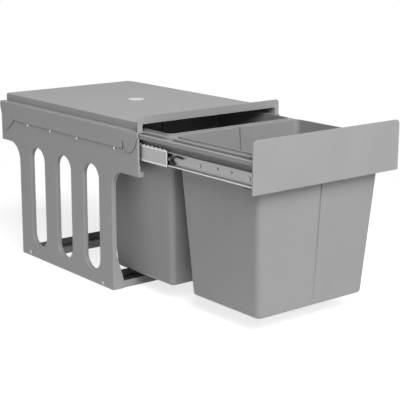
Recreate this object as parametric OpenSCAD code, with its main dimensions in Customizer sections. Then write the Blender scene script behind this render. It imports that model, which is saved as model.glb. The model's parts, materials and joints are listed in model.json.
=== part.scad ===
// Pull-out waste cabinet for a kitchen cupboard: a pressed steel frame on two base bars,
// a flat cover with an upright bezel, and a drawer on two ball slides with two lift-out bins.
// +X is the right side seen from the front, -Y is the front and +Z is up. The origin is on
// the cupboard floor, at the middle of the four floor screws.
// Inside the modules y is counted from the bezel's front face, with the drawer shut.
// The last step of each node moves it to the origin and pulls the drawer out.

/* [Cabinet] */
// Width over the two top rails
cabinet_w = 336; // [326:1:380]
// Depth from the bezel's front face to the cover's rear wall
cabinet_d = 485; // [478:1:520]
// Height of the ledge along the top of each side
ledge_z = 311; // [300:0.5:330]
// Height of the cover's top above the ledge
cover_rise = 14.6; // [11:0.1:20]
// Height of the bezel's top edge above the cover's top
bezel_rise = 14; // [8:0.1:20]
// How far the drawer stands open
drawer_open = 303.5; // [0:0.5:440]

/* [Side panels] */
// Sheet of the side panels
panel_t = 1.2; // [0.8:0.1:2]
// Depth of the flanges turned inwards at the slots and the outer edges
flange_d = 8; // [5:0.5:9]
// Distance of the legs from the bezel's front face
leg_inset = 83.2; // [75:0.1:90]
// Distance of the legs from the rear
leg_rear_inset = 70.1; // [60:0.1:80]
// Width of a slot
slot_w = 53.5; // [40:0.5:56]
// Distance of the slots' upper ends below the slides
slot_gap = 21.6; // [20:0.1:80]
// Height of the slots' lower ends above the floor
slot_z = 25.5; // [20:0.5:32]
// Number of slots
slot_count = 3; // [1:1:4]
// Height of the band above the legs
band_h = 80; // [66:0.5:84]
// Radius between band and legs at the front
front_blend_r = 32; // [20:1:36]
// Radius between band and legs at the rear
rear_blend_r = 36; // [20:1:40]
// Width of the turned-in strip on the band's front edge, below the slides
front_strip_w = 4.3; // [3:0.1:6]
// Width of that strip beside the slides
upper_strip_w = 2.3; // [1:0.1:2.4]
// Reach of the corner tab at the foot of that strip
corner_tab_w = 11.2; // [8:0.1:12]
// Height of the corner tab
corner_tab_h = 8.6; // [6:0.1:12]
// Reach of the gusset at the foot of the leg's front flange
gusset_w = 24; // [16:0.5:26]
// Height at which the gusset starts to widen
gusset_top_z = 67; // [40:1:90]
// Height at which the gusset is full width
gusset_foot_z = 17; // [14.5:0.5:30]
// Reach of the flange that carries the cover
seat_w = 15.8; // [15.5:0.1:16]

/* [Top rails] */
// Sheet of the top rails
skirt_t = 0.8; // [0.6:0.1:1.2]
// Height of the skirt between its two tabs
skirt_h = 35; // [30:0.5:36]
// Width of the front tab at its root
front_tab_w = 42; // [30:0.5:46]
// Height of the front tab below the ledge
front_tab_h = 38.3; // [30:0.1:40]
// Width of the rear tab at its root
rear_tab_w = 46; // [36:0.5:56]
// Height of the rear tab below the ledge
rear_tab_h = 58.7; // [40:0.1:64]
// Radius of the rear tab's lower end
rear_tab_r = 9.4; // [5:0.1:12]
// Height of the solid strip above the relief cuts beside the tabs
relief_h = 21; // [15:0.5:24]
// Width of the relief cut beside the front tab
relief_w = 3; // [1:0.5:6]

/* [Cover] */
// Wall of the cover
cover_t = 1.2; // [0.8:0.1:1.6]
// Distance of the cover's wall from the side of the cabinet
cover_inset = 10.8; // [10.4:0.1:11]
// Radius of the cover's rear corners
cover_corner_r = 9; // [4:0.5:16]
// Thickness of the bezel
bezel_t = 2.4; // [1.5:0.1:3]
// Distance of the bezel's edge from the side of the cabinet
bezel_inset = 1.2; // [0.5:0.1:3]
// Radius of the bezel's top corners
bezel_corner_r = 6.5; // [3:0.5:10]
// Diameter of the bare disc on the cover
badge_d = 32; // [20:1:70]
// Distance of the disc's centre to the right of the cover's middle
badge_right = 5; // [-60:0.5:60]
// Distance of the disc's centre in front of the cover's middle
badge_front = 4; // [-60:0.5:60]
// Thickness of the disc
badge_t = 0.6; // [0.4:0.1:1.5]

/* [Base] */
// Depth of a base bar, front to back
bar_d = 63.5; // [40:0.5:70]
// Height of a base bar's lips
bar_h = 14; // [12:0.5:16]
// Sheet of the base bars
bar_t = 1.5; // [1:0.1:2.5]
// Spacing of the floor screws across the cabinet
floor_hole_span = 256; // [200:1:280]
// Radius of the floor screw holes
floor_hole_r = 2.75; // [2:0.05:4]

/* [Slides] */
// Distance of the slides' rear end from the cabinet's rear
slide_rear_gap = 33; // [20:1:50]
// Height of a slide
slide_h = 45; // [44:0.5:46]
// Thickness of a slide
slide_w = 12.7; // [12.5:0.1:13.5]
// Sheet of the slide members
gauge = 1.2; // [1:0.05:1.25]
// Distance of the slides' centre line below the ledge
slide_drop = 35.5; // [33:0.5:38]
// Height of the inner member
inner_h = 25; // [24:0.5:26]
// Length of the middle member, as a share of the slide's length
middle_len_share = 0.65; // [0.6:0.005:0.655]
// Radius of the outer balls
outer_ball_r = 2.5; // [2.4:0.05:2.55]
// Radius of the inner balls
inner_ball_r = 1.8; // [1.7:0.05:1.85]
// Distance between neighbouring balls
ball_pitch = 11.7; // [8:0.1:14]
// Length of the outer ball cage, as a share of the middle member's length
outer_cage_len_share = 0.61; // [0.4:0.01:0.62]
// Length of the inner ball cage, as a share of the middle member's length
inner_cage_len_share = 0.645; // [0.4:0.005:0.65]
// Sheet of the ball cages
cage_t = 0.5; // [0.4:0.05:0.6]
// Height of a rivet above the slide's centre line, below it when negative
rivet_rise = -2.5; // [-6:0.5:6]
// Length of the release lever's longer arm
lever_len = 36; // [25:1:44]

/* [Drawer] */
// Distance of the front panel's ends from the sides of the cabinet
front_inset = 1; // [0:0.5:4]
// Height of the front panel
front_h = 88; // [80:0.5:120]
// Thickness of the front panel
front_t = 3.2; // [3:0.1:6]
// Radius of the front panel's top corners
front_corner_r = 8; // [3:0.5:14]
// Sheet of the carrier
carrier_t = 1.5; // [1.2:0.1:1.8]
// Clearance of the carrier rail's lip under the flange that carries the cover
lip_gap = 0.5; // [0.4:0.1:3]
// Reach of that lip below the rail's shelf
lip_drop = 0.8; // [0:0.1:1.6]

/* [Bins] */
// Wall of a bin
bin_t = 1.8; // [1.5:0.1:3]
// Draft of the bin's walls, sideways per unit of height
bin_draft = 0.0665; // [0.03:0.0005:0.08]
// Height of a bin's floor above the base bars' lips
bin_floor_gap = 16.3; // [10:0.1:40]
// Radius of a bin's upright corners
bin_corner_r = 11.5; // [6:0.5:20]
// Width of the rim's flange
rim_w = 8; // [6:0.1:8.2]
// Height of the rim, from its resting edge to the top of its flange
rim_h = 8; // [6:0.1:9]
// Height of a bin's wall above that flange
wall_rise = 4.2; // [2:0.1:6]
// Width of the seam down the middle of the front and rear walls
seam_w = 1.8; // [1:0.1:3]
// Depth of the seam
seam_d = 0.7; // [0.3:0.1:0.9]

/* [Hidden] */
$fn = 48;

// One overrun serves every cut
cut = 1;
// Facets of a ball, and of the hulls that shape the bins
ball_fn = 24;
hull_fn = 32;
// Shares of the drawer's travel that the middle member and the two cages make
outer_cage_share = 0.25;
middle_share = 0.5;
inner_cage_share = 0.75;

// Widths, from the cabinet's side inwards
half_w = cabinet_w / 2;
front_w = cabinet_w - 2 * front_inset;
panel_out = half_w - skirt_t;
panel_in = panel_out - panel_t;
slide_in = panel_in - slide_w;
cover_half = half_w - cover_inset;

// Heights
cover_z = ledge_z + cover_rise;
bezel_z = cover_z + bezel_rise;
seat_z = ledge_z - skirt_t;
band_z = ledge_z - skirt_t - band_h;
slide_z = ledge_z - slide_drop;
slot_h = slide_z - slide_h / 2 - slot_gap - slot_z;

// Legs, and the middle of the floor screws
leg_rear = cabinet_d - leg_rear_inset;
leg_d = leg_rear - leg_inset;
origin_y = leg_inset + leg_d / 2;
strut_w = (leg_d - slot_count * slot_w) / (slot_count + 1);
slot_pitch = strut_w + slot_w;

// Top rails: outlines of the two tabs, as shares of each tab's width and height
front_tab_shares = [[0, 0.25], [0.23, 0.8], [0.45, 1], [0.81, 1], [1, 0.55]];
rear_tab_shares = [[0, 0.35], [0, 0.66], [1, 0.38], [1.08, 0.2]];
// Directions from the round end's centre to its first and last point, and its facets
rear_tab_angles = [234, 347];
rear_tab_steps = 12;
rear_tab_gap = 3;
rear_tab_centre_share = 0.64;

// Base bars: they stand between the side panels, behind the legs' edge flanges
bar_gap = 0.3;
front_bar_y = leg_inset + panel_t + bar_gap;
rear_bar_y = leg_rear - panel_t - bar_gap - bar_d;
floor_hole_pitch = rear_bar_y - front_bar_y;
// Base screws
base_screw_z = 7;
base_screw_r = 1.9;
base_screw_len = 6;
base_head_r = 4;
base_head_h = 0.7;
// Clearance between a fastener and its hole
screw_gap = 0.1;

// Screws of the cover
cover_screw_shares = [0.12, 0.52, 0.91];
cover_screw_ys = cabinet_d * cover_screw_shares;
cover_boss_r = 2.4;
cover_screw_r = 1.2;
cover_screw_head_r = 2.2;
cover_screw_head_h = 1.2;
cover_screw_len = 8;
cover_screw_inset = 2;

// Slide section, as depths from the side panel's inner face and heights from the centre line
slide_y = 2;
slide_len = cabinet_d - slide_rear_gap - slide_y;
inner_setback = 1;
outer_flange_w = 9;
outer_lip_w = 1;
outer_lip_h = 3.2;
ball_gap = 0.05;
outer_ball_w = 5;
outer_face_v = slide_h / 2 - gauge;
outer_ball_sink = 0.35;
outer_ball_v = outer_face_v + outer_ball_sink - outer_ball_r;
middle_v = outer_ball_v - outer_ball_r + outer_ball_sink;
middle_web_w = 2.8;
middle_flange_w = 11.3;
middle_lip_w = 1;
middle_lip_h = 2;
inner_ball_w = 7.7;
inner_ball_sink = 0.15;
inner_ball_v = middle_v - gauge + inner_ball_sink - inner_ball_r;
inner_v = inner_h / 2;
inner_groove_v = inner_ball_v - inner_ball_r - ball_gap;
inner_mouth_w = 5.6;
outer_cage_w = 1.6;
outer_cage_reach = 7.7;
inner_cage_w = 4.4;
inner_cage_reach = 9.9;
pocket_gap = 0.1;

// Slide lengths and places with the drawer shut
stop_len = 4.5;
stop_gap = 0.5;
stop_h = 24;
stop_w = 10;
member_rear = slide_y + slide_len - stop_len - stop_gap;
inner_y = slide_y + inner_setback;
inner_len = member_rear - inner_y;
middle_len = slide_len * middle_len_share;
middle_y = member_rear - middle_len;
outer_ball_count = floor(middle_len * outer_cage_len_share / ball_pitch) - 1;
inner_ball_count = floor(middle_len * inner_cage_len_share / ball_pitch) - 1;
cage_offset = 5;
outer_cage_y = middle_y + cage_offset;
outer_cage_len = ball_pitch * (outer_ball_count + 1);
inner_cage_y = middle_y - cage_offset;
inner_cage_len = ball_pitch * (inner_ball_count + 1);
// Rivets that hold the outer members: places as shares of the slide's length
rivet_shares = [0.154, 0.432, 0.645, 0.8345];
rivet_ys = slide_len * rivet_shares;
rivet_r = 2;
rivet_head_r = 2.8;
rivet_head_h = 0.6;
// Holes left open in the inner member: places as shares of its length, height and radius
open_hole_shares = [0.133, 0.212];
open_hole_ys = inner_len * open_hole_shares;
open_hole_rise = 3;
open_hole_r = 2.2;

// Release lever
lever_place_share = 0.4955;
lever_y = inner_y + inner_len * lever_place_share;
lever_t = 2.5;
lever_w = 7.4;
lever_hub_r = 4.4;
lever_pin_r = 1.5;
lever_bore_gap = 0.05;
lever_arm_t = 3;
lever_bend = 16;
lever_short_len = 12;
lever_tail_len = 20;
lever_rise = 4.4;
lever_fall = -8.8;
lever_pin_head_r = 2.6;
lever_pin_head_t = 0.8;
lever_side_gap = 0.1;

// Drawer: gap to the shut front, rails and their screws
shut_gap = 0.4;
rail_y = 2;
rail_side_gap = 3;
shelf_gap = 2.3;
shelf_z = slide_z + slide_h / 2 + shelf_gap;
shelf_top = shelf_z + carrier_t;
lip_z = seat_z - panel_t - lip_gap;
rail_reach = 8.8;
rail_edge = slide_in - rail_reach;
rail_lip_x = panel_in - rail_side_gap;
rail_turn_h = 9;
rail_rear_gap = 8;
rail_rear = cabinet_d - rail_rear_gap;
web_foot = 14;
slide_screw_r = 1.9;
slide_screw_head_r = 3.4;
slide_screw_head_h = 1.5;
slide_screw_len = 4.8;
slide_screw_first = 17;
slide_screw_shares = [0.32, 0.646, 0.95];
slide_screw_ys = concat([inner_y + slide_screw_first],
    [for (t = slide_screw_shares) inner_y + t * inner_len]);
bracket_len = 38;
bracket_h = 40;
bracket_t = 1.5;
bracket_front_w = 12.5;
panel_screw_r = 1.9;
panel_screw_head_r = 3.6;
panel_screw_head_h = 1.8;
panel_screw_len = 3.6;
panel_screw_rise = 10;
panel_screw_bite = 2.2;
cross_screw_x = 90;
carrier_screw_r = 1.4;
carrier_screw_head_r = 2.4;
carrier_screw_head_h = 1.3;
carrier_screw_len = 5;
carrier_screw_drop = 5.5;
cross_tab_h = 10;
cross_h = 26;
// Depths of the three cross rails, front to rear
cross_ws = [8, 13, 13];

// Bins: two between the front cross rail and the rail's rear end, side by side along y
bin_side_gap = 2.2;
rim_front_gap = 1.2;
rim_gap = 0.7;
rim_rear_gap = 10;
flange_z = shelf_top + rim_h;
bin_top_z = flange_z + wall_rise;
bin_z = bar_h + bin_floor_gap;
bin_h = bin_top_z - bin_z;
bin_half = rail_edge - bin_side_gap;
bin_d = (rail_rear - rim_rear_gap - rim_front_gap - rim_gap - 4 * rim_w) / 2;
front_bin_y = rim_front_gap + rim_w;
rear_bin_y = front_bin_y + bin_d + 2 * rim_w + rim_gap;
rim_t = 1.6;

// Moves a node from bezel-based places to the origin, pulled out by a share of the travel
module placed(share) {
    translate([0, -origin_y - share * drawer_open, 0]) children();
}

// Extrudes an XZ outline along y
module along_y(y0, len) {
    translate([0, y0 + len, 0]) rotate([90, 0, 0]) linear_extrude(len) children();
}

// Extrudes a YZ outline along x
module along_x(x0, len) {
    translate([x0, 0, 0]) rotate([90, 0, 90]) linear_extrude(len) children();
}

// A round bar along +x from x0
module bar_x(r, x0, len) {
    translate([x0, 0, 0]) rotate([0, 90, 0]) cylinder(r = r, h = len);
}

// A round bar along +y from y0
module bar_y(r, y0, len) {
    translate([0, y0 + len, 0]) rotate([90, 0, 0]) cylinder(r = r, h = len);
}

// The same thing on the left and on the right
module both_sides() {
    children();
    mirror([1, 0, 0]) children();
}

// Side panel outline in YZ, with its free edges moved in by the given inset
module side_outline(inset) {
    floor_z = inset > 0 ? -cut : 0;
    translate([inset, band_z + inset])
        square([cabinet_d - 2 * inset, seat_z - band_z - inset]);
    translate([leg_inset + inset, floor_z])
        square([leg_d - 2 * inset, band_z + 2 * inset - floor_z]);
    difference() {
        translate([leg_inset - front_blend_r, band_z - front_blend_r])
            square(front_blend_r + inset);
        translate([leg_inset - front_blend_r, band_z - front_blend_r])
            circle(r = front_blend_r + inset);
    }
    difference() {
        translate([leg_rear - inset, band_z - rear_blend_r])
            square(rear_blend_r + inset);
        translate([leg_rear + rear_blend_r, band_z - rear_blend_r])
            circle(r = rear_blend_r + inset);
    }
}

// One slot in YZ, grown by the given amount
module slot_outline(i, grow) {
    r = slot_w / 2;
    y = leg_inset + strut_w + r + i * slot_pitch;
    translate([y - r - grow, slot_z + r]) square([slot_w + 2 * grow, slot_h - slot_w]);
    translate([y, slot_z + r]) circle(r = r + grow);
    translate([y, slot_z + slot_h - r]) circle(r = r + grow);
}

// Left side panel: pressed sheet with turned edges, slots, and a notch where the slide passes
module side_panel() {
    x0 = -panel_out;
    inner = panel_t + flange_d;
    notch_z = slide_z - slide_h / 2 - shelf_gap;
    strip_top = shelf_z;
    difference() {
        union() {
            along_x(x0, panel_t) side_outline(0);
            along_x(x0, inner) difference() {
                side_outline(0);
                side_outline(panel_t);
                square([leg_inset, seat_z]);
            }
            for (i = [0 : slot_count - 1]) along_x(x0, inner) slot_outline(i, panel_t);
            // Band bottom and front blend, kept clear of the front edge strip
            along_x(x0, inner) intersection() {
                difference() {
                    side_outline(0);
                    side_outline(panel_t);
                }
                translate([panel_t, 0]) square([leg_inset, band_z + panel_t]);
            }
            // Front edge strip and its corner tab
            along_x(x0, panel_t + front_strip_w)
                translate([0, band_z]) square([panel_t, notch_z - band_z]);
            along_x(x0, panel_t + upper_strip_w)
                translate([0, band_z]) square([panel_t, strip_top - band_z]);
            along_x(x0, panel_t + corner_tab_w)
                translate([0, band_z]) square([panel_t, corner_tab_h]);
            // Gusset at the foot of the leg's front flange
            along_y(leg_inset, panel_t) polygon([
                [x0, 0], [x0 + gusset_w, 0], [x0 + gusset_w, gusset_foot_z],
                [x0 + inner, gusset_top_z], [x0, gusset_top_z]]);
            // Flange that carries the cover
            translate([x0, 0, seat_z - panel_t]) cube([seat_w, cabinet_d, panel_t]);
        }
        for (i = [0 : slot_count - 1]) along_x(x0 - cut, inner + 2 * cut) slot_outline(i, 0);
        for (y = rivet_ys) translate([0, slide_y + y, slide_z + rivet_rise])
            bar_x(rivet_r + screw_gap, x0 - cut, panel_t + 2 * cut);
        for (y = [front_bar_y, rear_bar_y]) translate([0, y + bar_d / 2, base_screw_z])
            bar_x(base_screw_r + screw_gap, x0 - cut, panel_t + 2 * cut);
        for (y = cover_screw_ys)
            translate([-cover_half + cover_t + cover_screw_inset, y, seat_z - panel_t - cut])
                cylinder(r = cover_screw_r + screw_gap, h = panel_t + 2 * cut);
    }
}

// Points of a tab of the top rail: shares of its width and height, from its root at y0
function tab_points(shares, y0, w, h) = [for (p = shares) [y0 + p[0] * w, ledge_z - p[1] * h]];

// Left top rail: a skirt with two tapered tabs outside the panel, and the ledge on top of it
module top_rail() {
    x0 = -half_w;
    rear_root = cabinet_d - rear_tab_w - rear_tab_gap;
    c = [rear_root + rear_tab_centre_share * rear_tab_w, ledge_z - rear_tab_h + rear_tab_r];
    a0 = rear_tab_angles[0];
    turn = (rear_tab_angles[1] - a0) / rear_tab_steps;
    round_end = [for (i = [0 : rear_tab_steps]) c + rear_tab_r * [cos(a0 + i * turn), sin(a0 + i * turn)]];
    rear_points = tab_points(rear_tab_shares, rear_root, rear_tab_w, rear_tab_h);
    skirt_y = skirt_t + front_tab_w + relief_w;
    along_x(x0, skirt_t)
        polygon(concat([[0, ledge_z]], tab_points(front_tab_shares, 0, skirt_t + front_tab_w, front_tab_h),
            [[skirt_y, ledge_z - relief_h], [skirt_y, ledge_z - skirt_h],
            [rear_root - skirt_t, ledge_z - skirt_h], [rear_root - skirt_t, ledge_z - relief_h]],
            [rear_points[0], rear_points[1]], round_end, [rear_points[2], rear_points[3]],
            [[cabinet_d, ledge_z]]));
    translate([x0, bezel_t, seat_z]) cube([cover_inset, cabinet_d - bezel_t, skirt_t]);
}

// Cover outline in plan, with its wall faces moved in by the given inset
module cover_plan(inset) {
    r = cover_corner_r;
    w = cover_half - inset;
    y1 = cabinet_d - inset;
    translate([-w, 0]) square([2 * w, cabinet_d - r]);
    translate([-cover_half + r, 0]) square([2 * (cover_half - r), y1]);
    for (s = [-1, 1]) translate([s * (cover_half - r), cabinet_d - r]) circle(r = r - inset);
}

// Bezel outline in XZ: a plate with rounded top corners
module bezel_outline() {
    w = half_w - bezel_inset;
    r = bezel_corner_r;
    translate([-w, seat_z]) square([2 * w, bezel_z - r - seat_z]);
    translate([-w + r, seat_z]) square([2 * (w - r), bezel_z - seat_z]);
    for (s = [-1, 1]) translate([s * (w - r), bezel_z - r]) circle(r = r);
}

// Cover: a flat lid with three walls, and at its front an upright bezel round the opening
module top_cover() {
    opening = cover_half - cover_t;
    color([0.62, 0.62, 0.62]) placed(0) difference() {
        union() {
            translate([0, 0, seat_z]) linear_extrude(cover_z - seat_z) cover_plan(0);
            along_y(0, bezel_t) bezel_outline();
        }
        difference() {
            translate([0, 0, seat_z - cut]) linear_extrude(cover_z - seat_z - cover_t + cut)
                cover_plan(cover_t);
            for (y = cover_screw_ys) both_sides() translate([-opening + cover_screw_inset, y, seat_z])
                cylinder(r = cover_boss_r, h = cover_z - seat_z);
        }
        translate([-opening, -cut, seat_z - cut])
            cube([2 * opening, bezel_t + 2 * cut, cover_z - cover_t - seat_z + cut]);
        for (y = cover_screw_ys) both_sides()
            translate([-opening + cover_screw_inset, y, seat_z - cut])
                cylinder(r = cover_screw_r + screw_gap, h = cover_screw_len);
    }
}

// Cover screws, driven up through the seat flanges into the cover's bosses
module cover_screws() {
    x = -cover_half + cover_t + cover_screw_inset;
    z = seat_z - panel_t;
    color([0.7, 0.7, 0.7]) placed(0) both_sides() for (y = cover_screw_ys) {
        translate([x, y, z - cover_screw_head_h]) cylinder(r = cover_screw_head_r, h = cover_screw_head_h);
        translate([x, y, z]) cylinder(r = cover_screw_r, h = cover_screw_len - cover_screw_r);
    }
}

// Bare disc near the middle of the cover
module badge_disc() {
    color([0.95, 0.95, 0.95]) placed(0) translate([badge_right, origin_y - badge_front, cover_z])
        cylinder(r = badge_d / 2, h = badge_t);
}

// Base bar: a shallow tray with four upturned sides, screwed to the floor and to the legs
module base_bar(y0) {
    w = panel_in;
    difference() {
        translate([-w, y0, 0]) cube([2 * w, bar_d, bar_h]);
        translate([-w + bar_t, y0 + bar_t, bar_t])
            cube([2 * (w - bar_t), bar_d - 2 * bar_t, bar_h]);
        for (s = [-1, 1]) translate([s * floor_hole_span / 2, y0 + bar_d / 2, -cut])
            cylinder(r = floor_hole_r, h = bar_t + 2 * cut);
        both_sides() translate([0, y0 + bar_d / 2, base_screw_z])
            bar_x(base_screw_r + screw_gap, -w - cut, bar_t + 2 * cut);
    }
}

// Base screws, through the legs into the ends of the base bars
module base_screws() {
    color([0.75, 0.75, 0.75]) placed(0) both_sides() for (y = [front_bar_y, rear_bar_y])
        translate([0, y + bar_d / 2, base_screw_z]) {
            bar_x(base_head_r, -panel_out - base_head_h, base_head_h);
            bar_x(base_screw_r, -panel_out, base_screw_len);
        }
}

// Rivets, through the side panels into the outer slide members, flush inside
module slide_rivets() {
    color([0.8, 0.8, 0.8]) placed(0) both_sides() for (y = rivet_ys)
        translate([0, slide_y + y, slide_z + rivet_rise]) {
            bar_x(rivet_head_r, -panel_out - rivet_head_h, rivet_head_h);
            bar_x(rivet_r, -panel_out, panel_t + gauge);
        }
}

// Moves a slide section from depth and height to XZ on the left side
module slide_section() {
    translate([-panel_in, slide_z]) children();
}

// Channel in depth and height, open towards greater depth, with the given half height
module channel(w0, w1, v, web_t, flange_t) {
    difference() {
        translate([w0, -v]) square([w1 - w0, 2 * v]);
        translate([w0 + web_t, -v + flange_t]) square([w1 - w0, 2 * (v - flange_t)]);
    }
}

// Two ball grooves, above and below the slide's centre line
module grooves(w, v, r) {
    for (s = [-1, 1]) translate([w, s * v]) circle(r = r + ball_gap);
}

// Lips along a channel's two edges, turned towards its centre line
module lips(w1, v, lip_w, lip_h) {
    translate([w1 - lip_w, v - lip_h]) square([lip_w, lip_h]);
    translate([w1 - lip_w, -v]) square([lip_w, lip_h]);
}

module outer_section() {
    difference() {
        union() {
            channel(0, outer_flange_w, slide_h / 2, gauge, gauge);
            lips(outer_flange_w, slide_h / 2, outer_lip_w, outer_lip_h);
        }
        grooves(outer_ball_w, outer_ball_v, outer_ball_r);
    }
}

module middle_section() {
    difference() {
        union() {
            channel(middle_web_w, middle_flange_w, middle_v, gauge, gauge);
            lips(middle_flange_w, middle_v, middle_lip_w, middle_lip_h + gauge);
        }
        grooves(outer_ball_w, outer_ball_v, outer_ball_r);
        grooves(inner_ball_w, inner_ball_v, inner_ball_r);
    }
}

module inner_section() {
    difference() {
        translate([slide_w, 0]) mirror([1, 0, 0])
            channel(0, slide_w - inner_mouth_w, inner_v, gauge, gauge);
        grooves(inner_ball_w, inner_ball_v, inner_ball_r);
    }
}

module slide_outer() {
    difference() {
        along_y(slide_y, slide_len) slide_section() outer_section();
        for (y = rivet_ys) translate([0, slide_y + y, slide_z + rivet_rise])
            bar_x(rivet_r + screw_gap, -panel_in - cut, gauge + 2 * cut);
    }
}

module slide_middle() {
    along_y(middle_y, middle_len) slide_section() middle_section();
}

module slide_inner() {
    x0 = -slide_in - gauge - cut;
    difference() {
        along_y(inner_y, inner_len) slide_section() inner_section();
        for (y = slide_screw_ys) translate([0, y, slide_z])
            bar_x(slide_screw_r + screw_gap, x0, gauge + 2 * cut);
        for (y = open_hole_ys) translate([0, inner_y + y, slide_z + open_hole_rise])
            bar_x(open_hole_r, x0, gauge + 2 * cut);
        translate([0, lever_y, slide_z]) bar_x(lever_pin_r + ball_gap, x0, gauge + 2 * cut);
    }
}

// Ball cage: a thin channel whose flanges hold the two rows of balls in round pockets
module ball_cage(y0, len, count, w0, reach, ball_w, ball_v, ball_r) {
    difference() {
        along_y(y0, len) slide_section()
            channel(w0, reach, ball_v + cage_t / 2, cage_t, cage_t);
        for (i = [1 : count], s = [-1, 1])
            translate([-panel_in + ball_w, y0 + i * ball_pitch, slide_z + s * ball_v - cage_t])
                cylinder(r = ball_r + pocket_gap, h = 2 * cage_t);
    }
}

module ball_rows(y0, count, ball_w, ball_v, ball_r) {
    for (i = [1 : count], s = [-1, 1])
        translate([-panel_in + ball_w, y0 + i * ball_pitch, slide_z + s * ball_v])
            sphere(r = ball_r, $fn = ball_fn);
}

module outer_cage() {
    ball_cage(outer_cage_y, outer_cage_len, outer_ball_count, outer_cage_w, outer_cage_reach,
        outer_ball_w, outer_ball_v, outer_ball_r);
}

module outer_balls() {
    ball_rows(outer_cage_y, outer_ball_count, outer_ball_w, outer_ball_v, outer_ball_r);
}

module inner_cage() {
    ball_cage(inner_cage_y, inner_cage_len, inner_ball_count, inner_cage_w, inner_cage_reach,
        inner_ball_w, inner_ball_v, inner_ball_r);
}

module inner_balls() {
    ball_rows(inner_cage_y, inner_ball_count, inner_ball_w, inner_ball_v, inner_ball_r);
}

// End stop: a bumper on the outer member's web that catches the middle and inner members
module end_stop() {
    translate([-panel_in + gauge, slide_y + slide_len - stop_len, slide_z - stop_h / 2])
        cube([stop_w, stop_len, stop_h]);
}

// Release lever, in the mouth of the inner member: a hub, two arms to the front and a tail
module release_lever() {
    x0 = -panel_in + lever_w;
    difference() {
        translate([0, lever_y, slide_z]) union() {
            bar_x(lever_hub_r, x0, lever_t);
            along_x(x0, lever_t) polygon([
                [0, lever_hub_r], [-lever_bend, lever_rise + 4 / 3 * lever_arm_t],
                [-lever_len, lever_rise + lever_arm_t / 2], [-lever_len, lever_rise],
                [-lever_bend, lever_rise + lever_arm_t / 3], [0, -lever_hub_r / 2]]);
            along_x(x0, lever_t) polygon([
                [0, 0], [-lever_short_len, lever_fall + 2 / 3 * lever_arm_t],
                [-lever_short_len, lever_fall], [-lever_hub_r, lever_fall], [0, -lever_hub_r]]);
            along_x(x0, lever_t) polygon([
                [0, lever_hub_r], [lever_tail_len, lever_arm_t / 2],
                [lever_tail_len, -lever_arm_t / 2], [0, -lever_hub_r]]);
        }
        translate([0, lever_y, slide_z])
            bar_x(lever_pin_r + lever_bore_gap, x0 - cut, lever_t + 2 * cut);
    }
}

// Lever pins: from the inner member's web through the lever's hub to a flat head
module lever_pins() {
    x0 = -panel_in + lever_w;
    color([0.7, 0.7, 0.7]) placed(1) both_sides() translate([0, lever_y, slide_z]) {
        bar_x(lever_pin_r, x0 - lever_side_gap, -slide_in - x0 + lever_side_gap);
        bar_x(lever_pin_head_r, x0 - lever_side_gap - lever_pin_head_t, lever_pin_head_t);
    }
}

// Carrier rail: a web on the inner slide member, a shelf for the rims, a lip and a turned edge
module rail_section() {
    translate([-slide_in, slide_z - web_foot]) square([carrier_t, shelf_top - slide_z + web_foot]);
    translate([-rail_lip_x, shelf_z]) square([rail_lip_x - rail_edge, carrier_t]);
    translate([-rail_lip_x, shelf_z - lip_drop]) square([carrier_t, lip_z - shelf_z + lip_drop]);
    translate([-rail_edge - carrier_t, shelf_top - rail_turn_h]) square([carrier_t, rail_turn_h]);
}

module carrier_rail() {
    difference() {
        along_y(rail_y, rail_rear - rail_y) rail_section();
        for (y = slide_screw_ys) translate([0, y, slide_z])
            bar_x(slide_screw_r + screw_gap, -slide_in - cut, carrier_t + 2 * cut);
        for (y = cross_ys()) translate([0, y, shelf_top - carrier_screw_drop])
            bar_x(carrier_screw_r + screw_gap, -rail_edge - carrier_t - cut, carrier_t + 2 * cut);
    }
}

// Middles of the three cross rails, front to rear
function cross_ys() = [
    -shut_gap + cross_ws[0] / 2,
    (front_bin_y + bin_d + rear_bin_y) / 2,
    rail_rear - cross_ws[2] / 2];

// Cross rail: a shelf with turned edges as asked, and a tab at each end for a screw
module cross_rail(i, front_edge, rear_edge) {
    w = cross_ws[i];
    y0 = cross_ys()[i] - w / 2;
    difference() {
        union() {
            translate([-rail_edge, y0, shelf_z]) cube([2 * rail_edge, w, carrier_t]);
            translate([-rail_edge, y0, shelf_top - front_edge])
                cube([2 * rail_edge, carrier_t, front_edge]);
            translate([-rail_edge, y0 + w - carrier_t, shelf_top - rear_edge])
                cube([2 * rail_edge, carrier_t, rear_edge]);
            both_sides() translate([-rail_edge, y0, shelf_top - cross_tab_h])
                cube([carrier_t, w, cross_tab_h]);
        }
        both_sides() translate([0, cross_ys()[i], shelf_top - carrier_screw_drop])
            bar_x(carrier_screw_r + screw_gap, -rail_edge - cut, carrier_t + 2 * cut);
        if (i == 0) for (s = [-1, 1]) translate([s * cross_screw_x, 0, slide_z + panel_screw_rise])
            bar_y(panel_screw_r + screw_gap, y0 - cut, carrier_t + 2 * cut);
    }
}

// Carrier screws, from the cross rails' end tabs into the rails' turned edges
module carrier_screws() {
    color([0.75, 0.75, 0.75]) placed(1) both_sides() for (y = cross_ys())
        translate([0, y, shelf_top - carrier_screw_drop]) {
            bar_x(carrier_screw_head_r, -rail_edge + carrier_t, carrier_screw_head_h);
            bar_x(carrier_screw_r, -rail_edge + carrier_t - carrier_screw_len, carrier_screw_len);
        }
}

// Slide screws, from inside the inner member through its web, the rail and the bracket
module slide_screws() {
    color([0.75, 0.75, 0.75]) placed(1) both_sides() for (y = slide_screw_ys)
        translate([0, y, slide_z]) {
            bar_x(slide_screw_head_r, -slide_in - gauge - slide_screw_head_h, slide_screw_head_h);
            bar_x(slide_screw_r, -slide_in - gauge, slide_screw_len);
        }
}

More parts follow.
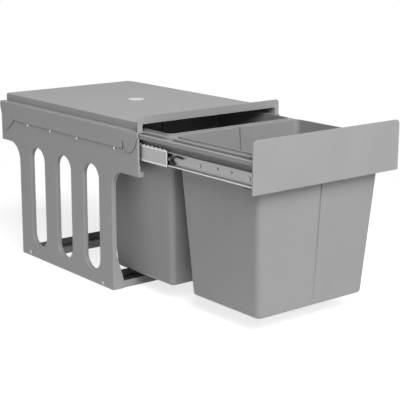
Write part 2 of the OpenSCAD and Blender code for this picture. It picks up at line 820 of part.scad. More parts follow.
// Panel bracket: an angle with one leg on the carrier rail and one on the front panel
module panel_bracket() {
    x0 = -slide_in + carrier_t;
    z0 = slide_z - bracket_h / 2;
    difference() {
        union() {
            translate([x0, -shut_gap, z0]) cube([bracket_t, bracket_len, bracket_h]);
            translate([x0 + bracket_t - bracket_front_w, -shut_gap, z0])
                cube([bracket_front_w, bracket_t, bracket_h]);
        }
        translate([0, slide_screw_ys[0], slide_z])
            bar_x(slide_screw_r + screw_gap, x0 - cut, bracket_t + 2 * cut);
        for (s = [-1, 1]) translate([panel_screw_x(), 0, slide_z + s * panel_screw_rise])
            bar_y(panel_screw_r + screw_gap, -shut_gap - cut, bracket_t + 2 * cut);
    }
}

// Middle of the bracket's front leg, across
function panel_screw_x() = -slide_in + carrier_t - (bracket_front_w - bracket_t) / 2;

// Panel screws: from the brackets and the front cross rail into the front panel
module panel_screws() {
    y0 = -shut_gap + bracket_t;
    color([0.75, 0.75, 0.75]) placed(1) both_sides() {
        for (s = [-1, 1]) translate([panel_screw_x(), 0, slide_z + s * panel_screw_rise]) panel_screw(y0);
        translate([-cross_screw_x, 0, slide_z + panel_screw_rise]) panel_screw(-shut_gap + carrier_t);
    }
}

module panel_screw(y0) {
    bar_y(panel_screw_head_r, y0, panel_screw_head_h);
    bar_y(panel_screw_r, y0 - panel_screw_len, panel_screw_len);
}

// Front panel: a plate with rounded top corners and blind holes behind for its screws
module front_panel() {
    w = front_w / 2;
    r = front_corner_r;
    z0 = slide_z - slide_h / 2;
    color([0.64, 0.64, 0.64]) placed(1) difference() {
        along_y(-shut_gap - front_t, front_t) {
            translate([-w, z0]) square([front_w, front_h - r]);
            translate([-w + r, z0]) square([front_w - 2 * r, front_h]);
            for (s = [-1, 1]) translate([s * (w - r), z0 + front_h - r]) circle(r = r);
        }
        both_sides() {
            for (s = [-1, 1]) translate([panel_screw_x(), 0, slide_z + s * panel_screw_rise])
                bar_y(panel_screw_r + screw_gap, -shut_gap - panel_screw_bite, panel_screw_bite + cut);
            translate([-cross_screw_x, 0, slide_z + panel_screw_rise])
                bar_y(panel_screw_r + screw_gap, -shut_gap - panel_screw_bite, panel_screw_bite + cut);
        }
    }
}

// Four corner posts of a bin's level outline, as thin discs at height z
module bin_ring(z, grow, corner_r, t) {
    in = (bin_top_z - z) * bin_draft - grow;
    for (sx = [-1, 1], y = [in + corner_r, bin_d - in - corner_r])
        translate([sx * (bin_half - in - corner_r), y, z]) cylinder(r = corner_r, h = t, $fn = hull_fn);
}

// Solid between two levels of a bin's outline
module bin_body(z0, z1, grow, corner_r) {
    sliver = bin_t / 100;
    hull() {
        bin_ring(z0, grow, corner_r, sliver);
        bin_ring(z1 - sliver, grow, corner_r, sliver);
    }
}

// Upright slab with the bin's outline at its top level
module bin_slab(z0, z1, grow, corner_r) {
    translate([0, 0, z0]) linear_extrude(z1 - z0) {
        for (sx = [-1, 1], y = [corner_r - grow, bin_d + grow - corner_r])
            translate([sx * (bin_half + grow - corner_r), y]) circle(r = corner_r, $fn = hull_fn);
        translate([-bin_half - grow, corner_r - grow])
            square([2 * (bin_half + grow), bin_d + 2 * (grow - corner_r)]);
        translate([-bin_half - grow + corner_r, -grow])
            square([2 * (bin_half + grow - corner_r), bin_d + 2 * grow]);
    }
}

// Seam down the middle of a drafted wall
module seam(side) {
    slope = atan(bin_draft);
    y_foot = side > 0 ? bin_d : 0;
    translate([-seam_w / 2, y_foot, bin_top_z]) rotate([side * -slope, 0, 0])
        translate([0, side > 0 ? -seam_d : -cut, -bin_h - cut])
            cube([seam_w, seam_d + cut, bin_h + cut - rim_h - wall_rise]);
}

module bin() {
    color([0.62, 0.62, 0.62]) difference() {
        union() {
            difference() {
                bin_body(bin_z, bin_top_z, 0, bin_corner_r);
                bin_body(bin_z + bin_t, bin_top_z + cut, -bin_t, bin_corner_r - bin_t);
            }
            difference() {
                bin_slab(shelf_top, flange_z, rim_w, bin_corner_r + rim_w);
                bin_slab(shelf_top - cut, flange_z - rim_t, rim_w - rim_t, bin_corner_r + rim_w - rim_t);
                bin_slab(flange_z - rim_t - cut, flange_z + cut, -bin_t / 2, bin_corner_r - bin_t / 2);
            }
        }
        seam(-1);
        seam(1);
    }
}

module left_side_panel() {
    color([0.55, 0.55, 0.55]) placed(0) side_panel();
}

module right_side_panel() {
    color([0.55, 0.55, 0.55]) placed(0) mirror([1, 0, 0]) side_panel();
}

module left_top_rail() {
    color([0.53, 0.53, 0.53]) placed(0) top_rail();
}

module right_top_rail() {
    color([0.53, 0.53, 0.53]) placed(0) mirror([1, 0, 0]) top_rail();
}

module left_slide_outer() {
    color([0.78, 0.78, 0.8]) placed(0) slide_outer();
}

module right_slide_outer() {
    color([0.78, 0.78, 0.8]) placed(0) mirror([1, 0, 0]) slide_outer();
}

module left_end_stop() {
    color([0.15, 0.15, 0.15]) placed(0) end_stop();
}

module right_end_stop() {
    color([0.15, 0.15, 0.15]) placed(0) mirror([1, 0, 0]) end_stop();
}

module left_slide_middle() {
    color([0.8, 0.8, 0.82]) placed(middle_share) slide_middle();
}

module right_slide_middle() {
    color([0.8, 0.8, 0.82]) placed(middle_share) mirror([1, 0, 0]) slide_middle();
}

module left_slide_inner() {
    color([0.75, 0.75, 0.77]) placed(1) slide_inner();
}

module right_slide_inner() {
    color([0.75, 0.75, 0.77]) placed(1) mirror([1, 0, 0]) slide_inner();
}

module left_outer_cage() {
    color([0.85, 0.85, 0.86]) placed(outer_cage_share) outer_cage();
}

module right_outer_cage() {
    color([0.85, 0.85, 0.86]) placed(outer_cage_share) mirror([1, 0, 0]) outer_cage();
}

module left_outer_balls() {
    color([0.9, 0.9, 0.9]) placed(outer_cage_share) outer_balls();
}

module right_outer_balls() {
    color([0.9, 0.9, 0.9]) placed(outer_cage_share) mirror([1, 0, 0]) outer_balls();
}

module left_inner_cage() {
    color([0.85, 0.85, 0.86]) placed(inner_cage_share) inner_cage();
}

module right_inner_cage() {
    color([0.85, 0.85, 0.86]) placed(inner_cage_share) mirror([1, 0, 0]) inner_cage();
}

module left_inner_balls() {
    color([0.9, 0.9, 0.9]) placed(inner_cage_share) inner_balls();
}

module right_inner_balls() {
    color([0.9, 0.9, 0.9]) placed(inner_cage_share) mirror([1, 0, 0]) inner_balls();
}

module left_release_lever() {
    color([0.1, 0.1, 0.1]) placed(1) release_lever();
}

module right_release_lever() {
    color([0.1, 0.1, 0.1]) placed(1) mirror([1, 0, 0]) release_lever();
}

module left_carrier_rail() {
    color([0.58, 0.58, 0.58]) placed(1) carrier_rail();
}

module right_carrier_rail() {
    color([0.58, 0.58, 0.58]) placed(1) mirror([1, 0, 0]) carrier_rail();
}

module left_panel_bracket() {
    color([0.7, 0.7, 0.7]) placed(1) panel_bracket();
}

module right_panel_bracket() {
    color([0.7, 0.7, 0.7]) placed(1) mirror([1, 0, 0]) panel_bracket();
}

module front_base_bar() {
    color([0.5, 0.5, 0.5]) placed(0) base_bar(front_bar_y);
}

module rear_base_bar() {
    color([0.5, 0.5, 0.5]) placed(0) base_bar(rear_bar_y);
}

module front_cross_rail() {
    color([0.58, 0.58, 0.58]) placed(1) cross_rail(0, cross_h, carrier_t);
}

module middle_cross_rail() {
    color([0.58, 0.58, 0.58]) placed(1) cross_rail(1, cross_tab_h, cross_tab_h);
}

module rear_cross_rail() {
    color([0.58, 0.58, 0.58]) placed(1) cross_rail(2, carrier_t, cross_h);
}

module front_bin() {
    placed(1) translate([0, front_bin_y, 0]) bin();
}

module rear_bin() {
    placed(1) translate([0, rear_bin_y, 0]) bin();
}

left_side_panel();
right_side_panel();
left_top_rail();
right_top_rail();
top_cover();
cover_screws();
badge_disc();
front_base_bar();
rear_base_bar();
base_screws();
slide_rivets();
left_slide_outer();
right_slide_outer();
left_end_stop();
right_end_stop();
left_slide_middle();
right_slide_middle();
left_slide_inner();
right_slide_inner();
left_outer_cage();
right_outer_cage();
left_outer_balls();
right_outer_balls();
left_inner_cage();
right_inner_cage();
left_inner_balls();
right_inner_balls();
left_release_lever();
right_release_lever();
lever_pins();
left_carrier_rail();
right_carrier_rail();
front_cross_rail();
middle_cross_rail();
rear_cross_rail();
carrier_screws();
slide_screws();
left_panel_bracket();
right_panel_bracket();
panel_screws();
front_panel();
front_bin();
rear_bin();
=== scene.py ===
# %% [markdown]
# # Pull-out waste cabinet
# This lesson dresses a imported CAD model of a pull-out waste cabinet for a kitchen cupboard. The CAD model
# is the frame of the lesson: it fixes every size and every place, and each new piece is made to sit exactly
# where a CAD piece is. Everything here is in metres, +X is right, -Y is the front and +Z is up.

# %% Load the frame
import json
import math

import bmesh
import bpy
from mathutils import Matrix, Vector


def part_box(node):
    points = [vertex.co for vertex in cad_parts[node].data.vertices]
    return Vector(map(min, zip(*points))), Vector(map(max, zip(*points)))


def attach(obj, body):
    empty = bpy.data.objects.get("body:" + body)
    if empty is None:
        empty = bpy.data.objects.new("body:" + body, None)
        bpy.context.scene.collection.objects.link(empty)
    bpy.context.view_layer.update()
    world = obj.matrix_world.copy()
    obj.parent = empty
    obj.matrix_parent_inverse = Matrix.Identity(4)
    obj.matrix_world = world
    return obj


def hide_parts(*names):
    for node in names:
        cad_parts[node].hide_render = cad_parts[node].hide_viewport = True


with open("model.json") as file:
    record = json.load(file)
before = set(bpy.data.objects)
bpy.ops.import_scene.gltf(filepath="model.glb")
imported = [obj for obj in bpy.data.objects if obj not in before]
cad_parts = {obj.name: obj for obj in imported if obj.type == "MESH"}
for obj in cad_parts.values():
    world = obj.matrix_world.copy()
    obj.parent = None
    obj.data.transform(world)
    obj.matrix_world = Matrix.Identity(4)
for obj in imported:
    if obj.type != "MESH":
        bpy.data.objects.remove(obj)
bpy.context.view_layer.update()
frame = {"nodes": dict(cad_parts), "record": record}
NODES = frame["nodes"]
MM = 0.001
scene = bpy.context.scene

# %% [markdown]
# ## The camera
# The photograph is taken from the left front, a little above, with a long lens. The camera's place and its
# three directions come from lines on the object whose sizes are known, so that the same corners fall on the
# same places of the picture.

# %% Camera
RIGHT = Vector((0.78148239, -0.62392425, 0.00195051))
UP = Vector((0.1436273, 0.18293763, 0.97257649))
BACK = Vector((-0.60717087, -0.75977125, 0.23257509))
CAMERA_PLACE = Vector((-1.32467, -1.87129, 0.66668))
FOCAL_MM = 103.69
SENSOR_MM = 36.0
SHIFT = (0.00152, -0.00118)
SIGHT_END = 50.0
camera_data = bpy.data.cameras.new("camera")
camera_data.sensor_width = SENSOR_MM
camera_data.sensor_fit = "HORIZONTAL"
camera_data.lens = FOCAL_MM
camera_data.shift_x, camera_data.shift_y = SHIFT
camera_data.clip_end = SIGHT_END
camera = bpy.data.objects.new("camera", camera_data)
scene.collection.objects.link(camera)
turn = Matrix((RIGHT, UP, BACK)).transposed().to_4x4()
camera.matrix_world = Matrix.Translation(CAMERA_PLACE) @ turn
scene.camera = camera
print("camera", [round(c, 3) for c in camera.location])

# %% [markdown]
# ## The white surroundings
# A product photograph stands on white. Turning up the lamps until the floor burns out would bleach the
# object too, so the white is given only to what the camera sees: Light Path tells the world whether a ray
# comes from the camera, from a mirror-like surface or from the light itself. The lamps stay at a plain
# level.

# %% World
WHITE = (1.0, 1.0, 1.0, 1.0)
WORLD_FILL = 0.09
scene.view_settings.view_transform = "Standard"
world = bpy.data.worlds.new("studio")
scene.world = world
world.use_nodes = True


def white_where_seen(tree, fill_shader, output):
    """Mixes a shader with pure white, which only camera, mirror and glass rays see."""
    path = tree.nodes.new("ShaderNodeLightPath")
    in_world = output.bl_idname.endswith("World")
    seen = tree.nodes.new("ShaderNodeBackground" if in_world else "ShaderNodeEmission")
    seen.inputs["Color"].default_value = WHITE
    seen.inputs["Strength"].default_value = 1.0
    first = tree.nodes.new("ShaderNodeMath")
    first.operation = "MAXIMUM"
    second = tree.nodes.new("ShaderNodeMath")
    second.operation = "MAXIMUM"
    tree.links.new(path.outputs["Is Camera Ray"], first.inputs[0])
    tree.links.new(path.outputs["Is Glossy Ray"], first.inputs[1])
    tree.links.new(first.outputs[0], second.inputs[0])
    tree.links.new(path.outputs["Is Transmission Ray"], second.inputs[1])
    mix = tree.nodes.new("ShaderNodeMixShader")
    tree.links.new(second.outputs[0], mix.inputs["Fac"])
    tree.links.new(fill_shader, mix.inputs[1])
    tree.links.new(seen.outputs[0], mix.inputs[2])
    tree.links.new(mix.outputs[0], output.inputs["Surface"])
    return mix


world.node_tree.nodes.clear()
world_out = world.node_tree.nodes.new("ShaderNodeOutputWorld")
world_fill = world.node_tree.nodes.new("ShaderNodeBackground")
world_fill.inputs["Color"].default_value = WHITE
world_fill.inputs["Strength"].default_value = WORLD_FILL
white_where_seen(world.node_tree, world_fill.outputs[0], world_out)
print("world fill", WORLD_FILL)

# %% [markdown]
# ## Lamps
# Large soft lamps leave no hard shadow edge. The main one stands to the left in front and high up, so the
# tops and the fronts are the brightest faces and the openings under the cover stay dark. A weak one to the
# right fills its shadows, and the pale floor throws light back up, which is what fills the undersides.

# %% Lamps
LAMP_SIZE = 2.0
LAMP_AIM = (0.0, -0.1, 0.2)


def softbox(name, place, power):
    """A large square lamp at place that shines at the middle of the object."""
    data = bpy.data.lights.new(name, "AREA")
    data.shape = "SQUARE"
    data.size = LAMP_SIZE
    data.energy = power
    lamp = bpy.data.objects.new(name, data)
    scene.collection.objects.link(lamp)
    lamp.location = place
    lamp.rotation_euler = (Vector(LAMP_AIM) - Vector(place)).to_track_quat("-Z", "Y").to_euler()


softbox("left_front_softbox", (-1.1, -2.5, 2.4), 76.0)
softbox("right_front_softbox", (0.3, -2.6, 2.6), 26.0)

# %% [markdown]
# ## Floor
# The floor is a plain pale sheet. Near the object it is a real, matt surface, so it keeps the object's soft
# shadow, and a little white is added for the camera alone. Further out, where no shadow falls, it fades to
# pure white and meets the world without a line.

# %% Floor
GROUND_HALF = 8.0
GROUND_DROP = 1.0 * MM
GROUND_TONE = (0.78, 0.78, 0.78, 1.0)
GROUND_ROUGHNESS = 0.9
CAMERA_LIFT = 0.74
FADE_FROM = 0.55
FADE_TO = 1.0
ground_mesh = bpy.data.meshes.new("ground")
ground_bm = bmesh.new()
bmesh.ops.create_grid(ground_bm, x_segments=1, y_segments=1, size=GROUND_HALF)
ground_bm.to_mesh(ground_mesh)
ground_bm.free()
ground = bpy.data.objects.new("ground", ground_mesh)
scene.collection.objects.link(ground)
ground.location.z = -GROUND_DROP
ground_mat = bpy.data.materials.new("pale_ground")
ground_mat.use_nodes = True
ground_tree = ground_mat.node_tree
ground_out = ground_tree.nodes["Material Output"]
ground_shader = ground_tree.nodes["Principled BSDF"]
ground_shader.inputs["Base Color"].default_value = GROUND_TONE
ground_shader.inputs["Roughness"].default_value = GROUND_ROUGHNESS
lift = ground_tree.nodes.new("ShaderNodeEmission")
lift.inputs["Strength"].default_value = CAMERA_LIFT
near = ground_tree.nodes.new("ShaderNodeAddShader")
ground_tree.links.new(ground_shader.outputs[0], near.inputs[0])
ground_tree.links.new(lift.outputs[0], near.inputs[1])
seen_mix = white_where_seen(ground_tree, ground_shader.outputs[0], ground_out)
spot = ground_tree.nodes.new("ShaderNodeTexCoord")
reach = ground_tree.nodes.new("ShaderNodeVectorMath")
reach.operation = "LENGTH"
fade = ground_tree.nodes.new("ShaderNodeMapRange")
fade.interpolation_type = "SMOOTHSTEP"
fade.inputs["From Min"].default_value = FADE_FROM
fade.inputs["From Max"].default_value = FADE_TO
ground_tree.links.new(spot.outputs["Object"], reach.inputs[0])
ground_tree.links.new(reach.outputs["Value"], fade.inputs["Value"])
far = seen_mix.inputs[2].links[0].from_socket
shade = ground_tree.nodes.new("ShaderNodeMixShader")
ground_tree.links.new(fade.outputs["Result"], shade.inputs["Fac"])
ground_tree.links.new(near.outputs[0], shade.inputs[1])
ground_tree.links.new(far, shade.inputs[2])
ground_tree.links.new(shade.outputs[0], seen_mix.inputs[2])
ground_mesh.materials.append(ground_mat)
print("floor", ground.name, "fades to white from", FADE_FROM, "to", FADE_TO, "m")

# %% [markdown]
# ## Finishes
# Powder coat is a matt skin with a fine orange-peel grain. Bin plastic is a little glossier, and
# zinc-plated steel shows the rolling direction of the sheet as faint streaks. Each finish comes from one
# function, so that pieces of the same stuff share it. The pattern reads Object coordinates: it is fixed to
# the piece and moves with it.

# %% Finishes
GRAIN = 0.3 * MM
BUMP_HEIGHT = 0.1 * MM
WIDE_SCALE = 14.0
FINE_DETAIL = 2.0
WIDE_DETAIL = 3.0
TONE_FROM = 0.3
TONE_TO = 0.7
RUB = 0.05
STREAKS = (1, 0.05, 1)


def finish_material(name, colour, roughness, metallic=0.0, bump=0.15, mottle=0.03, stretch=(1, 1, 1)):
    """A material with a fine grain: colour mottling and bump from two noises on object coordinates."""
    mat = bpy.data.materials.new(name)
    mat.use_nodes = True
    nt = mat.node_tree
    shader = nt.nodes["Principled BSDF"]
    shader.inputs["Metallic"].default_value = metallic
    coords = nt.nodes.new("ShaderNodeTexCoord")
    place = nt.nodes.new("ShaderNodeMapping")
    place.inputs["Scale"].default_value = stretch
    nt.links.new(coords.outputs["Object"], place.inputs["Vector"])
    fine = nt.nodes.new("ShaderNodeTexNoise")
    fine.inputs["Scale"].default_value = 1.0 / GRAIN
    fine.inputs["Detail"].default_value = FINE_DETAIL
    wide = nt.nodes.new("ShaderNodeTexNoise")
    wide.inputs["Scale"].default_value = WIDE_SCALE
    wide.inputs["Detail"].default_value = WIDE_DETAIL
    nt.links.new(place.outputs["Vector"], fine.inputs["Vector"])
    nt.links.new(place.outputs["Vector"], wide.inputs["Vector"])
    ramp = nt.nodes.new("ShaderNodeValToRGB")
    low = [c * (1.0 - mottle) for c in colour]
    high = [min(1.0, c * (1.0 + mottle)) for c in colour]
    ramp.color_ramp.elements[0].position = TONE_FROM
    ramp.color_ramp.elements[1].position = TONE_TO
    ramp.color_ramp.elements[0].color = (*low, 1.0)
    ramp.color_ramp.elements[1].color = (*high, 1.0)
    nt.links.new(wide.outputs["Fac"], ramp.inputs["Fac"])
    nt.links.new(ramp.outputs["Color"], shader.inputs["Base Color"])
    rub = nt.nodes.new("ShaderNodeMapRange")
    rub.inputs["To Min"].default_value = roughness - RUB
    rub.inputs["To Max"].default_value = roughness + RUB
    nt.links.new(wide.outputs["Fac"], rub.inputs["Value"])
    nt.links.new(rub.outputs["Result"], shader.inputs["Roughness"])
    bump_node = nt.nodes.new("ShaderNodeBump")
    bump_node.inputs["Strength"].default_value = bump
    bump_node.inputs["Distance"].default_value = BUMP_HEIGHT
    nt.links.new(fine.outputs["Fac"], bump_node.inputs["Height"])
    nt.links.new(bump_node.outputs["Normal"], shader.inputs["Normal"])
    return mat


def grey(value):
    """A neutral colour from its brightness on a screen, 0 to 255."""
    c = value / 255.0
    linear = c / 12.92 if c <= 0.04045 else ((c + 0.055) / 1.055) ** 2.4
    return (linear, linear, linear)


FINISHES = {
    "panel_grey": finish_material("panel_powder_coat", grey(178), 0.48),
    "cover_grey": finish_material("cover_powder_coat", grey(175), 0.5),
    "front_grey": finish_material("front_powder_coat", grey(168), 0.5),
    "badge_white": finish_material("badge_plastic", grey(250), 0.35, mottle=0.01),
    "zinc": finish_material("zinc_plate", grey(170), 0.38, metallic=0.85, stretch=STREAKS),
    "cage_steel": finish_material("cage_plate", grey(174), 0.36, metallic=0.85, stretch=STREAKS),
    "ball_steel": finish_material("ball_polish", grey(220), 0.15, metallic=1.0, mottle=0.01),
    "screw_steel": finish_material("screw_plate", grey(178), 0.38, metallic=0.85),
    "black_plastic": finish_material("black_moulding", grey(40), 0.45),
    "carrier_grey": finish_material("carrier_powder_coat", grey(162), 0.5),
    "bin_grey": finish_material("bin_moulding", grey(163), 0.42, bump=0.1),
}
# Second finishes: lighter colours that paint highlights on rolled lips, rivet domes, cage frames and hems.
ZINC_PAINTED_HIGHLIGHT = finish_material("zinc_painted_highlight", grey(216), 0.34, metallic=0.85, stretch=STREAKS)
HEM_PAINTED_HIGHLIGHT = finish_material("hem_painted_highlight", grey(205), 0.4)
RECORD = frame["record"]
SLOT_OF = {s["node"]: s["material_slot"] for s in RECORD["subparts"]}
BODY_OF = {n: body for body, names in RECORD["behaviour"]["bodies"].items() for n in names}
for node_name, cad in NODES.items():
    cad.data.materials.clear()
    cad.data.materials.append(FINISHES[SLOT_OF[node_name]])
print("finishes", sorted(FINISHES))

# %% [markdown]
# ## Finishing a piece
# Every new piece ends the same way: faces smooth, creases that turn by more than an angle marked sharp, a
# weighted normal so that flat faces stay flat beside their rounded edges, the finish of its slot, and a
# body to ride on. Faces with material index 1 can have a second finish: a lighter colour that paints a
# highlight on a lip or edge, or a darker one that paints shadow.

# %% Finish a piece
SIDES = (("left", -1), ("right", 1))
NORMAL_WEIGHT = 80


def finish_piece(bm, name, node, crease=40.0, second=None):
    """Makes an object from the mesh, dresses it, and lets it stand for its CAD node."""
    for face in bm.faces:
        face.smooth = True
    for edge in bm.edges:
        edge.smooth = len(edge.link_faces) == 2 and edge.calc_face_angle(0.0) < math.radians(crease)
    mesh = bpy.data.meshes.new(name)
    bm.to_mesh(mesh)
    bm.free()
    piece = bpy.data.objects.new(name, mesh)
    scene.collection.objects.link(piece)
    weighted = piece.modifiers.new("flat_faces", "WEIGHTED_NORMAL")
    weighted.keep_sharp = True
    weighted.weight = NORMAL_WEIGHT
    slot = SLOT_OF[node]
    mesh.materials.append(FINISHES[slot])
    if second is not None:
        mesh.materials.append(second)
    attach(piece, BODY_OF[node])
    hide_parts(node)
    return piece


def report(piece):
    """Prints a piece's size in millimetres and its number of faces."""
    points = [v.co for v in piece.data.vertices]
    spans = [max(p[k] for p in points) - min(p[k] for p in points) for k in range(3)]
    print(piece.name, [round(s / MM, 1) for s in spans], "mm,", len(piece.data.polygons), "faces")


# %% [markdown]
# ## The bins
# A moulded bin is one skin: a drafted wall, a rounded foot, a flange with a skirt that hangs on the
# carrier, and a wall that rises a little above the flange. Box modelling would need every corner by hand.
# Here one rounded rectangle is extruded ring by ring instead: each ring has its own height, reach and
# corner radius, up the outside, over the rim and down the inside, as the mould's two halves would give it.

# %% Sizes of a bin
bin_low, bin_high = [Vector(c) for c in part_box("front_bin")]
RIM_REACH = 8.0 * MM
WALL = 1.8 * MM
DRAFT = 0.0665
CORNER = 11.5 * MM
FLANGE_T = 1.6 * MM
WALL_RISE = 4.2 * MM
RIM_H = 8.0 * MM
FOOT = 5.5 * MM
FOOT_INSIDE = 8.0 * MM
SOFT = 0.7 * MM
FLANGE_BEND = 1.2 * MM
INNER_BEND = 1.0 * MM
WALL_ANGLE = 4
FOOT_STEPS = 8
BEND_STEPS = 4
SOFT_STEPS = 3
CORNER_STEPS = 10
TOP_Z = bin_high.z
FLOOR_Z = bin_low.z
HALF_X = (bin_high.x - bin_low.x) / 2 - RIM_REACH
HALF_Y = (bin_high.y - bin_low.y) / 2 - RIM_REACH
print("bin half width %.1f, half depth %.1f mm" % (HALF_X / MM, HALF_Y / MM))
print("bin height %.1f mm" % ((TOP_Z - FLOOR_Z) / MM))

# %% Rings of the bin's skin


def arc(z, reach, radius, start, end, steps):
    """Rings around a rounded edge: (height, reach) pairs on a quarter circle."""
    points = []
    for i in range(steps + 1):
        a = math.radians(start + (end - start) * i / steps)
        points.append((z + radius * math.sin(a), reach + radius * math.cos(a)))
    return points


def bin_rings():
    """Rings from the outer foot to the inner floor: height, reach past the top outline, corner radius."""
    def lean(z):
        return -(TOP_Z - z) * DRAFT

    flange_top = TOP_Z - WALL_RISE
    flange_under = flange_top - FLANGE_T
    rings = []
    for z, r in arc(FLOOR_Z + FOOT, lean(FLOOR_Z) - FOOT, FOOT, -90, -WALL_ANGLE, FOOT_STEPS):
        rings.append((z, r, CORNER + r - lean(z)))
    rings.append((flange_under - 2 * SOFT, lean(flange_under - 2 * SOFT), CORNER))
    rings.append((flange_under - 0.5 * SOFT, lean(flange_under) + 0.4 * SOFT, CORNER))
    rings.append((flange_under, lean(flange_under) + 2 * SOFT, CORNER + 2 * SOFT))
    skirt_in = RIM_REACH - FLANGE_T
    rings.append((flange_under, skirt_in - SOFT, CORNER + skirt_in - SOFT))
    rings.append((flange_under - SOFT, skirt_in, CORNER + skirt_in))
    skirt_foot = flange_top - RIM_H
    rings.append((skirt_foot + 0.3 * SOFT, skirt_in, CORNER + skirt_in))
    rings.append((skirt_foot, skirt_in + 0.4 * SOFT, CORNER + skirt_in + 0.4 * SOFT))
    rings.append((skirt_foot, RIM_REACH - 0.4 * SOFT, CORNER + RIM_REACH - 0.4 * SOFT))
    rings.append((skirt_foot + 0.4 * SOFT, RIM_REACH, CORNER + RIM_REACH))
    for z, r in arc(flange_top - FLANGE_BEND, RIM_REACH - FLANGE_BEND, FLANGE_BEND, 0, 90, BEND_STEPS):
        rings.append((z, r, CORNER + r))
    rings.append((flange_top, lean(flange_top) + INNER_BEND, CORNER + INNER_BEND))
    rings.append((flange_top + 0.25 * INNER_BEND, lean(flange_top) + 0.3 * INNER_BEND, CORNER))
    rings.append((flange_top + INNER_BEND, lean(flange_top + INNER_BEND), CORNER))
    for z, r in arc(TOP_Z - SOFT, lean(TOP_Z) - SOFT, SOFT, 0, 90, SOFT_STEPS):
        rings.append((z, r, CORNER + r))
    for z, r in arc(TOP_Z - SOFT, -WALL + SOFT, SOFT, 90, 180, SOFT_STEPS):
        rings.append((z, r, CORNER + r))
    floor_z = FLOOR_Z + WALL
    foot_reach = lean(floor_z) - WALL - FOOT_INSIDE
    for z, r in arc(floor_z + FOOT_INSIDE, foot_reach, FOOT_INSIDE, WALL_ANGLE, -90, FOOT_STEPS):
        rings.append((z, r, CORNER + r - lean(z)))
    return rings


RINGS = bin_rings()
print(len(RINGS), "rings")

# %% [markdown]
# A ring keeps its point count all the way, so each new ring is the last one extruded and then fitted corner
# by corner: the points of one quadrant are scaled about the corner's centre and moved to the new centre.

# %% Loft the skin


def corner_centre(ring, half_x, half_y, sx, sy):
    """Centre of a ring's rounded corner, in the quadrant of the two signs."""
    z, reach, radius = ring
    return Vector((sx * (half_x + reach - radius), sy * (half_y + reach - radius), z))


def loft_rings(bm, rings, half_x, half_y, corner_segments):
    """Extrudes a rounded rectangle through the rings and closes it with a floor at both ends."""
    z, reach, radius = rings[0]
    bmesh.ops.create_grid(bm, x_segments=1, y_segments=1, size=1.0)
    bmesh.ops.scale(bm, vec=(half_x + reach, half_y + reach, 1.0), verts=bm.verts)
    bmesh.ops.bevel(bm, geom=bm.verts[:], offset=radius, affect="VERTICES",
                    segments=corner_segments, profile=0.5, material=-1)
    bmesh.ops.translate(bm, verts=bm.verts, vec=(0, 0, z))
    edges = [e for e in bm.edges if e.is_boundary]
    last = rings[0]
    for ring in rings[1:]:
        made = bmesh.ops.extrude_edge_only(bm, edges=edges)["geom"]
        verts = [g for g in made if isinstance(g, bmesh.types.BMVert)]
        fresh = set(verts)
        edges = [g for g in made if isinstance(g, bmesh.types.BMEdge) and all(v in fresh for v in g.verts)]
        for sx in (-1, 1):
            for sy in (-1, 1):
                corner = [v for v in verts if v.co.x * sx > 0 and v.co.y * sy > 0]
                was = corner_centre(last, half_x, half_y, sx, sy)
                now = corner_centre(ring, half_x, half_y, sx, sy)
                k = ring[2] / last[2]
                bmesh.ops.scale(bm, verts=corner, vec=(k, k, 1.0), space=Matrix.Translation(-was))
                bmesh.ops.translate(bm, verts=corner, vec=now - was)
        last = ring
    bmesh.ops.contextual_create(bm, geom=edges)


test_bm = bmesh.new()
loft_rings(test_bm, RINGS, HALF_X, HALF_Y, CORNER_STEPS)
print("skin", len(test_bm.verts), "points", len(test_bm.faces), "faces, open edges",
      len([e for e in test_bm.edges if not e.is_manifold]))
test_bm.free()

# %% [markdown]
# A fine bead runs down the middle of the front and rear walls: a groove on the front face of each wall and
# a rib on the back of it, so the wall keeps its thickness. Two cuts on each side of the middle give the
# bead its own strip of faces, and the strip's points on both skins of the walls are pushed back.

# %% Cut the grooves and place the bins
GROOVE_HALF = 1.9 * MM
GROOVE_FLAT = 0.75 * GROOVE_HALF
PUSH_WITHIN = 0.9 * GROOVE_HALF
GROOVE_DEPTH = 3.0 * MM
GROOVE_START = FLOOR_Z + 6.0 * MM
GROOVE_END_OUT = TOP_Z - WALL_RISE
GROOVE_END_IN = TOP_Z - 0.5 * MM
NEAR_WALL = 0.8 * MM
CUT_MERGE = 1e-7


def slice_x(bm, x):
    """Cuts the whole mesh along the plane at x."""
    bmesh.ops.bisect_plane(bm, geom=bm.verts[:] + bm.edges[:] + bm.faces[:], dist=CUT_MERGE,
                           plane_co=(x, 0, 0), plane_no=(1, 0, 0))


def make_bin(name, node):
    """One bin's skin, with its grooves, at the place of its CAD node."""
    low, high = [Vector(c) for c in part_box(node)]
    bm = bmesh.new()
    loft_rings(bm, RINGS, HALF_X, HALF_Y, CORNER_STEPS)
    bmesh.ops.recalc_face_normals(bm, faces=bm.faces)
    for x in (-GROOVE_HALF, -GROOVE_FLAT, GROOVE_FLAT, GROOVE_HALF):
        slice_x(bm, x)
    pushed = []
    for v in bm.verts:
        past_wall = abs(v.co.y) - (HALF_Y - (TOP_Z - v.co.z) * DRAFT)
        outside = abs(past_wall) < NEAR_WALL and v.co.z < GROOVE_END_OUT
        inside = abs(past_wall + WALL) < NEAR_WALL and v.co.z < GROOVE_END_IN
        if abs(v.co.x) < PUSH_WITHIN and v.co.z > GROOVE_START and (outside or inside):
            pushed.append(v)
    bmesh.ops.translate(bm, verts=pushed, vec=(0, GROOVE_DEPTH, 0))
    middle = (low + high) / 2
    bmesh.ops.translate(bm, verts=bm.verts, vec=(middle.x, middle.y, 0))
    return finish_piece(bm, name, node)


report(make_bin("front_bin_shell", "front_bin"))
report(make_bin("rear_bin_shell", "rear_bin"))

